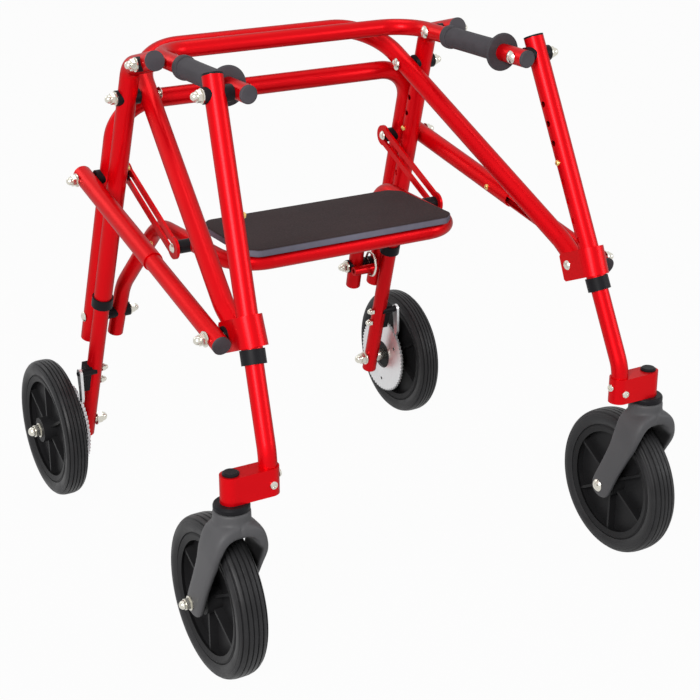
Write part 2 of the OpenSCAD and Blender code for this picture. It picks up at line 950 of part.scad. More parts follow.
module rear_axle() {
    leg_x = r1[0];
    x_out = rear_track + rear_hub / 2 + 0.3;
    color("#c9ccd0") {
        xbar(leg_x - lr - 9.5, x_out + 9, rear_p, 6);
        washer(leg_x - lr - 2.1, leg_x - lr - 0.5, rear_p, 10.5, 6);
        acorn(leg_x - lr - 2.1, rear_p, -1, 6, 1.25);
        difference() {
            xbar(leg_x, rear_track - hub_in - 0.3, rear_p, 9.5);
            seg(on_rear(rear_leg_end - 62), on_rear(rear_leg_end + 18), lr + touch);
            xbar(leg_x - 1, rear_track, rear_p, 6 + touch);
        }
        washer(x_out, x_out + 1.6, rear_p, 10.5, 6);
        acorn(x_out + 1.6, rear_p, 1, 6, 1.25);
        for (t = [clevis_t - 10, clevis_t + 12]) {
            let (q = on_rear(t)) {
                xbar(q[0] - lr - 6, q[0] + lr + 4.5, yz(q), 3);
                acorn(q[0] - lr - 0.4, yz(q), -1, 3, 0.75);
            }
        }
    }
}

module pawl_bracket() {
    q = on_rear(clevis_t);
    color("#2b2a2f")
        difference() {
            union() {
                translate(q)
                    rotate([lean_r, 0, 0])
                        translate([4, -8.5, -21])
                            cube([lr + 1, 17, 42]);
                xbar(q[0], ring_x - 0.3, pawl_p, 5);
                xbar(q[0], ring_x + 6, pawl_p, 3);
            }
            seg(on_rear(clevis_t - 86), on_rear(clevis_t + 74), lr + touch);
            for (t = [clevis_t - 10, clevis_t + 12])
                xbar(r1[0] - 44, r1[0] + 46, yz(on_rear(t)), 3 + touch);
        }
}

module pawl() {
    d = [half_wheelbase - 41.5 - pawl_p[0], wr + 47.4 - pawl_p[1]];
    n = norm(d);
    color("#b9bcc0")
        translate([ring_x, pawl_p[0], pawl_p[1]])
            rotate([atan2(d[1], d[0]), 0, 0])
                rotate([90, 0, 90])
                    linear_extrude(height = 4)
                        difference() {
                            union() {
                                circle(r = 7);
                                polygon([[0, -7], [n * 0.5, -6], [n - 6, -4.5], [n, -0.5], [n - 2, 4.5], [n * 0.5, 5], [0, 7]]);
                            }
                            circle(r = 3 + run);
                        }
}

// snap buttons, pressed towards the tube's middle

module button(q) {
    len = tr - lr + 1.4;
    color("#c79a3c")
        translate([q[0] - lr - 0.12, q[1], q[2]])
            rotate([0, -90, 0])
                rotate_extrude()
                    polygon([[0, 0], [pr, 0], [pr, len], [pr * 0.92, len + 0.8],
                        [pr * 0.72, len + 1.5], [pr * 0.4, len + 2], [0, len + 2.2]]);
}

back_tube();
both() front_upright();  // front_uprights
both() clamp();  // clamps
front_trim();
clamp_bolts();
handle_tube();
both() grip();  // grips
handle_caps();
handle_bolts();
both() rear_upright();  // rear_uprights
lower_tube();
rear_trim();
rear_bolts();
strut_inner();
strut_caps();
left() strut_outer();  // strut_outer_l
strut_outer();  // strut_outer_r
left() strut_nuts();  // strut_nuts_l
strut_nuts();  // strut_nuts_r
seat_tube();
seat_board();
seat_bolts();
seat_saddles();
links();
left() front_leg();  // front_leg_l
front_leg();  // front_leg_r
left() caster_bracket();  // caster_bracket_l
caster_bracket();  // caster_bracket_r
left() bracket_bolts();  // bracket_bolts_l
bracket_bolts();  // bracket_bolts_r
left() stem_plugs();  // stem_plugs_l
stem_plugs();  // stem_plugs_r
left() fork();  // fork_l
fork();  // fork_r
left() fork_axle();  // fork_axle_l
fork_axle();  // fork_axle_r
left() front_rim();  // front_rim_l
front_rim();  // front_rim_r
left() tyre(front_track, [axle_y, wr], front_wheel_w);  // front_tyre_l
tyre(front_track, [axle_y, wr], front_wheel_w);  // front_tyre_r
left() rear_leg();  // rear_leg_l
rear_leg();  // rear_leg_r
left() rear_axle();  // rear_axle_l
rear_axle();  // rear_axle_r
left() pawl_bracket();  // pawl_bracket_l
pawl_bracket();  // pawl_bracket_r
left() rear_rim();  // rear_rim_l
rear_rim();  // rear_rim_r
left() tyre(rear_track, rear_p, rear_wheel_w);  // rear_tyre_l
tyre(rear_track, rear_p, rear_wheel_w);  // rear_tyre_r
left() ratchet();  // ratchet_l
ratchet();  // ratchet_r
left() pawl();  // pawl_l
pawl();  // pawl_r
left() button(on_front(front_button_t));  // front_button_l
button(on_front(front_button_t));  // front_button_r
left() button(on_rear(rear_button_t));  // rear_button_l
button(on_rear(rear_button_t));  // rear_button_r
left() button(on_strut(strut_button_t));  // strut_button_l
button(on_strut(strut_button_t));  // strut_button_r
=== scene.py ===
"""Posterior walker: moulded forks, ribbed tyres, grips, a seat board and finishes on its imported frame."""
import json
import math

import bmesh
import bpy
import numpy as np
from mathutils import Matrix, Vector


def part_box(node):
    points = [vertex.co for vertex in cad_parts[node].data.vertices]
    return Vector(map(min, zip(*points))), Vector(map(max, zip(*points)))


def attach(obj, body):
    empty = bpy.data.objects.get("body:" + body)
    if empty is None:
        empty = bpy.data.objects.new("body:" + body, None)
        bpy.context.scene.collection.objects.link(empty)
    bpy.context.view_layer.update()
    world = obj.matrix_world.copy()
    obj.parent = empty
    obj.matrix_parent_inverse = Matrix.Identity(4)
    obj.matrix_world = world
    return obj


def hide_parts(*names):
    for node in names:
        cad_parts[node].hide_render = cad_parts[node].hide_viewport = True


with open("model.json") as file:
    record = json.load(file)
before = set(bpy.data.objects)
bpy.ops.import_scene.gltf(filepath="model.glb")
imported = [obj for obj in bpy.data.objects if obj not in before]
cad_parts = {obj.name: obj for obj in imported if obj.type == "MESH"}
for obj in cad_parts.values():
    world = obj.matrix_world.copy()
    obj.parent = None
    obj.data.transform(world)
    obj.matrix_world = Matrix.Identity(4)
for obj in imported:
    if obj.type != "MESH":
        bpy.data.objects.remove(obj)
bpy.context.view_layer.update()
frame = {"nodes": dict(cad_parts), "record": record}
NODES = frame["nodes"]
SLOT_OF = {part["node"]: part["material_slot"] for part in frame["record"]["subparts"]}

bl_info = {
    "name": "Posterior Walker",
    "version": (1, 0, 0),
    "blender": (4, 5, 0),
    "location": "View3D > Sidebar > Walker",
    "description": "Builds the soft and moulded pieces of a posterior walker on its packed frame",
    "category": "Object",
}

SIDES = ("l", "r")
WAYS = (-1.0, 1.0)

# the stem of a caster stands this far in front of its axle
TRAIL = 0.044

# middle of a fork's limb from the fork's side, and points round the limb
LIMB_INSET, LIMB_POINTS = 0.0056, 48

# radius of a tyre's bead, of its widest place and of the fine ring in its sidewall
BEAD, WAIST, RING = 0.0801, 0.088, 0.0925

# width of that ring, and its depth as a share of the tyre's half width
RING_WIDE, RING_DEEP = 0.0005, 0.025

# half the grooved width and half a groove's width, as shares of the tyre's half width
TREAD, GROOVE_HALF = 0.8, 0.062

# how far a tyre's walls draw in at the bead
WALL_DRAW = 0.003

# cut across each corner of the seat board, and points round its edge
BOARD_CLIP, BOARD_POINTS = 0.015, 256

# soft steps, from and to, round the rear uprights' end caps: below their top, then along y at back and front
CAP_DROP, CAP_BACK, CAP_FRONT = (0.032, 0.028), (0.0262, 0.0254), (-0.01, 0.0)

# soft steps, from and to, of the painted shade inside a fork: in from its side, and out from the axle
FORK_SHADE_DEPTH, FORK_SHADE_REACH = (0.006, 0.0105), (0.116, 0.107)

# soft step, from and to, between the seat board's edge band and its top: below the top
BAND_DROP = (0.0026, 0.0008)

# name, place, aim, size and power of each lamp, and its colour
LAMPS = (
    ("key", (-2.1, -2.0, 1.7), (0.0, -0.1, 0.4), 1.1, 90.0, (1.0, 0.985, 0.97)),
    ("fill", (2.0, -1.9, 1.3), (0.0, 0.0, 0.35), 0.9, 22.0, (0.97, 0.985, 1.0)),
    ("top", (0.2, 0.5, 2.9), (0.0, 0.0, 0.3), 1.2, 12.0, (1.0, 1.0, 1.0)),
    ("back", (-1.2, 2.4, 1.8), (0.0, 0.1, 0.4), 1.2, 9.0, (1.0, 1.0, 1.0)),
)

# the view: place, degrees looked down and turned, then focal length and sensor width in millimetres
EYE, LOOK_DOWN, LOOK_TURN = (-1.0051, -1.7765, 1.0706), 21.77, -30.51
FOCAL, SENSOR = 82.29, 36.0

# half the floor's width, how far it lies under the tyres, and its grey
FLOOR_HALF, FLOOR_DROP, FLOOR_GREY = 6.0, 0.0004, 0.26

# share of white in the floor as seen, and the world's light on dull surfaces
FLOOR_WHITE, AMBIENT = 0.97, 0.04


# Shader maths


class Val:
    """A number socket that works in sums, products and powers like a number, one Math node for each step."""

    def __init__(self, shade, socket):
        self.shade = shade
        self.socket = socket

    def _math(self, operation, a, b=None, clamp=False):
        node = self.shade.tree.nodes.new("ShaderNodeMath")
        node.operation = operation
        node.use_clamp = clamp
        self.shade.feed(node.inputs[0], a)
        if b is not None:
            self.shade.feed(node.inputs[1], b)
        return Val(self.shade, node.outputs[0])

    def __add__(self, other):
        return self._math("ADD", self, other)

    __radd__ = __add__

    def __sub__(self, other):
        return self._math("SUBTRACT", self, other)

    def __rsub__(self, other):
        return self._math("SUBTRACT", other, self)

    def __mul__(self, other):
        return self._math("MULTIPLY", self, other)

    __rmul__ = __mul__

    def __pow__(self, other):
        return self._math("POWER", self, other)

    def abs(self):
        return self._math("ABSOLUTE", self)

    def clamp(self):
        return self._math("ADD", self, 0.0, True)


class Shade:
    """The nodes of a material or a world, and a method that adds any node with its settings and inputs."""

    def __init__(self, owner, shader="Principled BSDF"):
        owner.use_nodes = True
        self.owner = owner
        self.tree = owner.node_tree
        self.shader = self.tree.nodes[shader]

    def feed(self, socket, value):
        """Links a value or an output into a socket, or sets the socket to a plain value."""
        if isinstance(value, Val):
            value = value.socket
        if isinstance(value, bpy.types.NodeSocket):
            self.tree.links.new(value, socket)
        else:
            socket.default_value = value

    def node(self, kind, settings=None, out=0, **inputs):
        """Adds a node: its settings first, then its sockets by name, and gives back one output."""
        node = self.tree.nodes.new(kind)
        for key, value in (settings or {}).items():
            setattr(node, key, value)
        for key, value in inputs.items():
            self.feed(node.inputs[key.replace("_", " ")], value)
        return node.outputs[out]

    def place(self):
        """The point on the piece in object coordinates, in metres."""
        return self.node("ShaderNodeTexCoord", out="Object")

    def split(self, vector):
        """The x, y and z of a vector as three numbers."""
        parts = self.node("ShaderNodeSeparateXYZ", Vector=vector).node
        return [Val(self, output) for output in parts.outputs]

    def noise(self, scale, detail=3.0, rough=0.5, vector=None):
        """Cloudy noise, with scale in clouds to the metre."""
        vector = self.place() if vector is None else vector
        return Val(self, self.node("ShaderNodeTexNoise", Vector=vector, Scale=scale, Detail=detail,
                                   Roughness=rough))

    def cells(self, scale):
        """The distance to the nearest of many scattered points."""
        return Val(self, self.node("ShaderNodeTexVoronoi", Vector=self.place(), Scale=scale))

    def smooth(self, value, low, high):
        """A soft step of value from 0 at low to 1 at high."""
        return Val(self, self.node("ShaderNodeMapRange", {"interpolation_type": "SMOOTHSTEP"},
                                   Value=value, From_Min=low, From_Max=high))

    def mix(self, amount, a, b):
        """A colour between a and b. A Mix node's colour sockets share their names, so they go by number."""
        mixed = self.node("ShaderNodeMix", {"data_type": "RGBA"}, out=2)
        for number, value in ((0, amount), (6, a), (7, b)):
            self.feed(mixed.node.inputs[number], value)
        return mixed

    def tones(self, amount, colour, low, high):
        """A property colour that runs between two gains."""
        return self.mix(amount, rgb(colour, low), rgb(colour, high))

    def seen(self):
        """1 on rays from the camera, off glossy surfaces and through clear ones, and 0 on the rest."""
        path = self.node("ShaderNodeLightPath").node
        camera, glossy, through = (Val(self, path.outputs[f"Is {ray} Ray"])
                                   for ray in ("Camera", "Glossy", "Transmission"))
        return (camera + glossy + through).clamp()

    def bump(self, height, strength, distance):
        """Raises the surface by a height."""
        self.feed(self.shader.inputs["Normal"],
                  self.node("ShaderNodeBump", Height=height, Strength=strength, Distance=distance))

    def set(self, **values):
        """Feeds the shader's sockets by name and gives back the material or world."""
        for key, value in values.items():
            self.feed(self.shader.inputs[key.replace("_", " ")], value)
        return self.owner


def new_finish(name):
    """The nodes of a new material that is named for its finish."""
    return Shade(bpy.data.materials.new("look_" + name))


def rgb(colour, gain):
    """A property colour as RGBA, brightened by gain."""
    return (colour[0] * gain, colour[1] * gain, colour[2] * gain, 1.0)


def red_paint(look):
    """Satin metallic red with dark edges: flakes and slow clouds shift it a little under a thin coat."""
    s = new_finish("red_paint")
    flakes = s.cells(5200.0)
    drift = s.noise(9.0, 4.0)
    tone = s.smooth(flakes * 0.15 + drift * 0.85, 0.25, 0.75)
    return s.set(Base_Color=s.tones(tone, look.paint, 0.95, 1.05), Metallic=0.45,
                 Specular_IOR_Level=0.1, Specular_Tint=(0.12, 0.0, 0.0, 1.0),
                 Roughness=0.34 + s.noise(60.0) * 0.04, Coat_Weight=0.13, Coat_Roughness=0.28)


def black_plastic(look):
    """Moulded black nylon with fine pits and dusty patches, paler on the rear uprights' end caps."""
    s = new_finish("black_plastic")
    patches = s.noise(40.0, 5.0)
    _, y, z = s.split(s.place())
    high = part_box("rear_trim")[1].z
    above = s.smooth(z, high - CAP_DROP[0], high - CAP_DROP[1])
    cap = above * s.smooth(y, *CAP_BACK) * s.smooth(y, *CAP_FRONT)
    body = s.tones(patches, look.plastic, 0.8, 1.35)
    s.bump(s.noise(1900.0), 0.16, 0.0004)
    return s.set(Base_Color=s.mix(cap, body, rgb(look.grip, 1.25)), Roughness=0.36 + patches * 0.2,
                 Specular_IOR_Level=0.1)


def bright_steel(look):
    """Bright nickel plating with a faint cloud of polish marks."""
    s = new_finish("bright_steel")
    cloud = s.noise(220.0, 5.0)
    return s.set(Base_Color=s.tones(cloud, look.nickel, 0.94, 1.04), Metallic=1.0,
                 Roughness=0.22 + cloud * 0.1)


def zinc_steel(look):
    """Stamped zinc plate with short brushed streaks."""
    s = new_finish("zinc_steel")
    stretch = s.node("ShaderNodeMapping", Vector=s.place(), Scale=(1.0, 9.0, 1.0))
    streak = s.noise(60.0, 6.0, 0.7, stretch)
    s.bump(streak, 0.06, 0.0003)
    return s.set(Base_Color=s.tones(streak, look.plating, 0.8, 1.1), Metallic=0.85,
                 Roughness=0.3 + streak * 0.16)


def grip_rubber(look):
    """Closed-cell grip foam: a fine pebbled skin with paler rubbed patches."""
    s = new_finish("grip_rubber")
    rub = s.smooth(s.noise(30.0, 4.0), 0.35, 0.7)
    s.bump(s.cells(1500.0) * 0.6 + s.noise(900.0) * 0.4, 0.22, 0.0005)
    return s.set(Base_Color=s.tones(rub, look.grip, 0.82, 1.25), Roughness=0.62 + rub * 0.15,
                 Specular_IOR_Level=0.2)


def grey_plastic(look):
    """Glass-filled grey nylon of the forks: moulded grain, flow clouds and painted shade inside over the
    tyre.
    """
    s = new_finish("grey_plastic")
    flow = s.noise(24.0, 5.0)
    x, y, z = s.split(s.place())
    axle = middle("front_tyre_r")
    half = (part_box("fork_r")[1].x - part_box("fork_r")[0].x) / 2
    reach = ((y - axle[1]) ** 2.0 + (z - axle[2]) ** 2.0) ** 0.5
    aside = (x.abs() - axle[0]).abs()
    # painted shade: inside the fork over the tyre the grey turns to a darkened rim colour
    inside_painted_shade = s.smooth(aside, half - FORK_SHADE_DEPTH[0], half - FORK_SHADE_DEPTH[1]) * s.smooth(reach, *FORK_SHADE_REACH)
    s.bump(s.noise(1500.0, 4.0), 0.2, 0.0005)
    skin = s.tones(flow, look.fork, 0.82, 1.2)
    return s.set(Base_Color=s.mix(inside_painted_shade, skin, rgb(look.rim, 0.6)), Roughness=0.46 + flow * 0.16,
                 Specular_IOR_Level=0.25)


def rim_plastic(look):
    """Black moulded rims: fine grain, and flow clouds that shift the tone and the gloss."""
    s = new_finish("rim_plastic")
    flow = s.noise(30.0, 4.0)
    s.bump(s.noise(1300.0), 0.12, 0.0004)
    return s.set(Base_Color=s.tones(flow, look.rim, 0.75, 1.4), Roughness=0.4 + flow * 0.18,
                 Specular_IOR_Level=0.12)


def tyre_rubber(look):
    """Grey-black rubber: fine grain, and dusty scuffs that are duller."""
    s = new_finish("tyre_rubber")
    dust = s.smooth(s.noise(26.0, 6.0, 0.6), 0.4, 0.75)
    s.bump(s.noise(1700.0), 0.16, 0.0004)
    return s.set(Base_Color=s.tones(dust, look.tyre, 0.82, 1.3), Roughness=0.4 + dust * 0.2,
                 Specular_IOR_Level=0.22)


def seat_pad(look):
    """Grained vinyl on the board: pebbles, slow clouds and a paler edge band below the top's rounding."""
    s = new_finish("seat_pad")
    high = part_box("seat_board")[1].z
    _, _, z = s.split(s.place())
    top = s.smooth(z, high - BAND_DROP[0], high - BAND_DROP[1])
    pebbles = s.cells(520.0)
    cloud = s.noise(16.0, 5.0)
    skin = s.tones(s.smooth(cloud * 0.6 + pebbles * 0.4, 0.2, 0.7), look.seat, 0.75, 1.3)
    band = s.tones(s.noise(70.0, 4.0), look.edge, 0.85, 1.15)
    s.bump(pebbles * 0.7 + s.noise(240.0, 4.0) * 0.3, 0.3, 0.0007)
    return s.set(Base_Color=s.mix(top, band, skin), Roughness=0.66 + cloud * 0.14, Specular_IOR_Level=0.12)


def brass_button(look):
    """Polished brass with clouds of tarnish."""
    s = new_finish("brass_button")
    tarnish = s.noise(500.0, 4.0)
    return s.set(Base_Color=s.tones(tarnish, look.brass, 0.8, 1.15), Metallic=1.0,
                 Roughness=0.2 + tarnish * 0.14)


FINISHES = (red_paint, black_plastic, bright_steel, zinc_steel, grip_rubber, grey_plastic, rim_plastic,
            tyre_rubber, seat_pad, brass_button)


# Surfaces


def grid_faces(rows, columns, close_rows, close_columns):
    """Quads of a rows by columns grid as corner numbers, wrapped where a direction is closed."""
    i = np.arange(rows if close_rows else rows - 1)[:, None]
    j = np.arange(columns if close_columns else columns - 1)[None, :]
    row, next_row = i * columns, (i + 1) % rows * columns
    next_j = (j + 1) % columns
    return np.stack([row + j, row + next_j, next_row + next_j, next_row + j], -1).reshape(-1, 4)


def surface(name, sheets, smooth_angle=35.0):
    """One mesh piece from (points, close rows, close columns) grids: doubles merged, normals outward."""
    points, quads, start = [], [], 0
    for grid, close_rows, close_columns in sheets:
        rows, columns = grid.shape[:2]
        quads.append(grid_faces(rows, columns, close_rows, close_columns) + start)
        points.append(grid.reshape(-1, 3))
        start += rows * columns
    points, quads = np.concatenate(points), np.concatenate(quads)
    mesh = bpy.data.meshes.new(name)
    mesh.vertices.add(len(points))
    mesh.vertices.foreach_set("co", points.astype(np.float32).ravel())
    mesh.loops.add(quads.size)
    mesh.loops.foreach_set("vertex_index", quads.astype(np.int32).ravel())
    mesh.polygons.add(len(quads))
    mesh.polygons.foreach_set("loop_start", np.arange(0, quads.size, 4, dtype=np.int32))
    mesh.update(calc_edges=True)
    shell = bmesh.new()
    shell.from_mesh(mesh)
    bmesh.ops.remove_doubles(shell, verts=shell.verts, dist=1e-6)
    bmesh.ops.dissolve_degenerate(shell, edges=shell.edges, dist=1e-7)
    bmesh.ops.recalc_face_normals(shell, faces=shell.faces)
    shell.to_mesh(mesh)
    shell.free()
    mesh.shade_smooth()
    mesh.set_sharp_from_angle(angle=math.radians(smooth_angle))
    piece = bpy.data.objects.new(name, mesh)
    bpy.context.scene.collection.objects.link(piece)
    return piece


def turned(profile, centre, axis, steps):
    """A turned shape's points: each (along, radius) of the profile swept right round the axis at centre."""
    angle = np.linspace(0.0, 2.0 * np.pi, steps, endpoint=False)
    along = np.repeat(profile[:, :1], steps, 1)
    ring = profile[:, 1:2]
    c, s = ring * np.cos(angle), ring * np.sin(angle)
    order = {"X": (along, c, s), "Y": (s, along, c), "Z": (c, s, along)}[axis]
    return np.stack(order, -1) + np.asarray(centre)


def finish_piece(piece, slot, body, *nodes):
    """Gives a piece its finish, lets it ride on a body and stand for its CAD nodes."""
    piece.data.materials.append(bpy.data.materials["look_" + slot])
    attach(piece, body)
    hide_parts(*nodes)


def middle(node):
    """The middle of a node's box."""
    low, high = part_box(node)
    return np.array((low + high) / 2)


# Sizes and colours


class WalkerSizes(bpy.types.PropertyGroup):
    """Sizes of the moulded and soft details."""

    ribs: bpy.props.IntProperty(
        name="Tread ribs", description="Ribs round each tyre", default=5, min=3, max=9)
    groove: bpy.props.FloatProperty(
        name="Groove depth", description="Depth of the grooves between the ribs",
        default=0.002, unit="LENGTH")
    board_round: bpy.props.FloatProperty(
        name="Board rounding", description="Rounding of the seat board's top edge",
        default=0.0024, unit="LENGTH")
    fork_voxel: bpy.props.FloatProperty(
        name="Fork cell", description="Cell size that blends the fork's limbs",
        default=0.0014, unit="LENGTH")


class WalkerLook(bpy.types.PropertyGroup):
    """Colours of the finishes."""

    paint: bpy.props.FloatVectorProperty(
        name="Frame paint", description="Colour of the tubes", subtype="COLOR",
        default=(0.68, 0.0012, 0.0055), min=0.0, max=1.0)
    plastic: bpy.props.FloatVectorProperty(
        name="Caps and collars", description="Colour of the caps, collars and washers", subtype="COLOR",
        default=(0.009, 0.0088, 0.0105), min=0.0, max=1.0)
    plating: bpy.props.FloatVectorProperty(
        name="Plating", description="Colour of the ratchet rings and pawls", subtype="COLOR",
        default=(0.74, 0.74, 0.75), min=0.0, max=1.0)
    nickel: bpy.props.FloatVectorProperty(
        name="Nickel", description="Colour of the bright nuts, bolts and axles", subtype="COLOR",
        default=(0.66, 0.64, 0.57), min=0.0, max=1.0)
    grip: bpy.props.FloatVectorProperty(
        name="Grips", description="Colour of the hand grips and the grey end caps", subtype="COLOR",
        default=(0.06, 0.056, 0.064), min=0.0, max=1.0)
    fork: bpy.props.FloatVectorProperty(
        name="Forks", description="Colour of the caster forks", subtype="COLOR",
        default=(0.085, 0.085, 0.09), min=0.0, max=1.0)
    # also darkened for the painted shade inside the forks
    rim: bpy.props.FloatVectorProperty(
        name="Rims", description="Colour of the wheel rims", subtype="COLOR",
        default=(0.014, 0.014, 0.015), min=0.0, max=1.0)
    tyre: bpy.props.FloatVectorProperty(
        name="Tyres", description="Colour of the tyres", subtype="COLOR",
        default=(0.021, 0.021, 0.0225), min=0.0, max=1.0)
    seat: bpy.props.FloatVectorProperty(
        name="Seat top", description="Colour of the seat board's top", subtype="COLOR",
        default=(0.036, 0.026, 0.027), min=0.0, max=1.0)
    edge: bpy.props.FloatVectorProperty(
        name="Seat edge", description="Colour of the seat board's edge", subtype="COLOR",
        default=(0.17, 0.17, 0.22), min=0.0, max=1.0)
    brass: bpy.props.FloatVectorProperty(
        name="Buttons", description="Colour of the snap buttons", subtype="COLOR",
        default=(0.72, 0.48, 0.16), min=0.0, max=1.0)


# Operators


class WALKER_OT_finishes(bpy.types.Operator):
    """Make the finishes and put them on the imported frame's nodes"""

    bl_idname = "walker.finishes"
    bl_label = "Frame finishes"

    def execute(self, context):
        for finish in FINISHES:
            finish(context.scene.walker_look)
        for name, node in NODES.items():
            node.data.materials.clear()
            node.data.materials.append(bpy.data.materials["look_" + SLOT_OF[name]])
        return {"FINISHED"}


class WALKER_OT_tyres(bpy.types.Operator):
    """Turn the four ribbed tyres"""

    bl_idname = "walker.tyres"
    bl_label = "Ribbed tyres"

    def execute(self, context):
        size = context.scene.walker_sizes
        for end in ("front", "rear"):
            for side in SIDES:
                node = f"{end}_tyre_{side}"
                low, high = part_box(node)
                section = self.section((high.x - low.x) / 2, (high.z - low.z) / 2, size)
                sheet = turned(section, middle(node), "X", steps=192)
                piece = surface(f"{node}_ribbed", [(sheet, True, True)], smooth_angle=40.0)
                finish_piece(piece, "tyre_rubber", f"{end}_wheel_{side}", node)
        return {"FINISHED"}

    @staticmethod
    def section(half, radius, size):
        """Closed section (along, radius). The crown is r = r0 + (R - r0) (1 - |u|^3.2)^0.42 over u from
        -1 to 1 across the width, with cosine grooves between the ribs and a fine ring pressed into each
        sidewall. Below the widest radius r0 the walls draw in as a parabola to the bead, which closes the
        loop."""
        u = np.sin(np.linspace(-np.pi / 2, np.pi / 2, 261))
        height = WAIST + (radius - WAIST) * (1.0 - np.abs(u) ** 3.2) ** 0.42
        gap = np.abs(u[:, None] - np.linspace(-TREAD, TREAD, size.ribs + 1)).min(1)
        groove = 0.5 + 0.5 * np.cos(np.pi * np.clip(gap / GROOVE_HALF, 0.0, 1.0))
        ring = np.exp(-(((height - RING) / RING_WIDE) ** 2))
        crown = np.stack([half * u * (1.0 - RING_DEEP * ring), height - size.groove * groove], 1)
        drop = np.linspace(0.0, 1.0, 9)[1:]
        wall = np.stack([half - WALL_DRAW * drop ** 2, WAIST - (WAIST - BEAD) * drop], 1)
        back = np.linspace(1.0, -1.0, 9)[1:-1] * (half - WALL_DRAW)
        seat = np.stack([back, np.full_like(back, BEAD)], 1)
        return np.concatenate([crown, wall, seat, wall[::-1] * (-1.0, 1.0)])


class WALKER_OT_forks(bpy.types.Operator):
    """Blend the two moulded caster forks from a cup and two curved limbs"""

    bl_idname = "walker.forks"
    bl_label = "Caster forks"

    def execute(self, context):
        size = context.scene.walker_sizes
        for side in SIDES:
            low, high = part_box(f"fork_{side}")
            axle = middle(f"front_tyre_{side}")
            stem = np.array([axle[0], axle[1] - TRAIL, high.z])
            sheets = [(turned(self.cup(), stem, "Z", steps=96), False, True)]
            for way in WAYS:
                sheets.append((self.limb(stem, way, (high.x - low.x) / 2), False, True))
            piece = surface(f"fork_{side}_moulded", sheets)
            remesh = piece.modifiers.new("blend", "REMESH")
            remesh.mode = "VOXEL"
            remesh.voxel_size = size.fork_voxel
            remesh.use_smooth_shade = True
            soften = piece.modifiers.new("soften", "SMOOTH")
            soften.factor = 0.6
            soften.iterations = 7
            finish_piece(piece, "grey_plastic", f"caster_{side}", f"fork_{side}")
        return {"FINISHED"}

    @staticmethod
    def cup():
        """Profile of the stem cup from its top down: a rounded rim, a nearly straight wall, a flat foot."""
        return np.array([[0.0, 0.0], [0.0, 0.0196], [-0.0006, 0.0214], [-0.002, 0.0222], [-0.02, 0.0224],
                         [-0.026, 0.0228], [-0.03, 0.0215], [-0.031, 0.0]])

    @staticmethod
    def limb(stem, way, half):
        """A superellipse carried from the crown's middle out over the tyre and down past the axle. Its
        centre, half width and half thickness run straight between set points and are evened by a binomial
        filter, and the half width closes as a quarter ellipse below the axle."""
        at_axle, tip_run = 0.885, 0.116
        s = np.array([0.0, 0.1, 0.2, 0.32, 0.5, 0.7, at_axle, 1.0])
        x = np.array([0.0, 0.014, 0.024] + [half - LIMB_INSET] * 5)
        y = np.array([-0.002, -0.003, -0.004, -0.002, 0.0095, 0.0245, 0.0405, 0.047])
        z = np.array([-0.02, -0.0215, -0.028, -0.046, -0.072, -0.101, -0.1335, -0.1515])
        wide = np.array([0.0225, 0.0235, 0.0235, 0.0222, 0.0186, 0.0172, 0.0178, 0.0176])
        thick = np.array([0.0105, 0.0105, 0.0088, 0.0066, 0.0057, 0.0055, 0.0054, 0.005])
        t = np.linspace(0.0, 1.0, 70)
        knots = [np.interp(t, s, v) for v in (x, y, z, wide, thick)]
        kernel = np.array([1.0, 4.0, 6.0, 4.0, 1.0]) / 16.0
        for _ in range(6):
            knots = [np.convolve(np.pad(v, 2, mode="edge"), kernel, mode="valid") for v in knots]
        x, y, z, wide, thick = knots
        tip = np.sqrt(np.clip(1.0 - np.clip((t - at_axle) / tip_run, 0.0, 1.0) ** 2, 0.02, 1.0))
        wide = wide * tip
        path = np.stack([way * x, y, z], 1)
        run = np.gradient(path, axis=0)
        run /= np.linalg.norm(run, axis=1, keepdims=True)
        across = np.array([0.0, 1.0, 0.0]) - run * run[:, 1:2]
        across /= np.linalg.norm(across, axis=1, keepdims=True)
        out = np.cross(run, across)
        a = np.linspace(0.0, 2.0 * np.pi, LIMB_POINTS, endpoint=False)
        c = np.sign(np.cos(a)) * np.abs(np.cos(a)) ** 0.6
        d = np.sign(np.sin(a)) * np.abs(np.sin(a)) ** 0.6
        skin = (path[:, None] + across[:, None] * (wide[:, None, None] * c[None, :, None])
                + out[:, None] * (thick[:, None, None] * d[None, :, None]))
        first, last = (np.repeat(end[:, None], LIMB_POINTS, 1) for end in (path[:1], path[-1:]))
        return np.concatenate([first, skin, last]) + stem


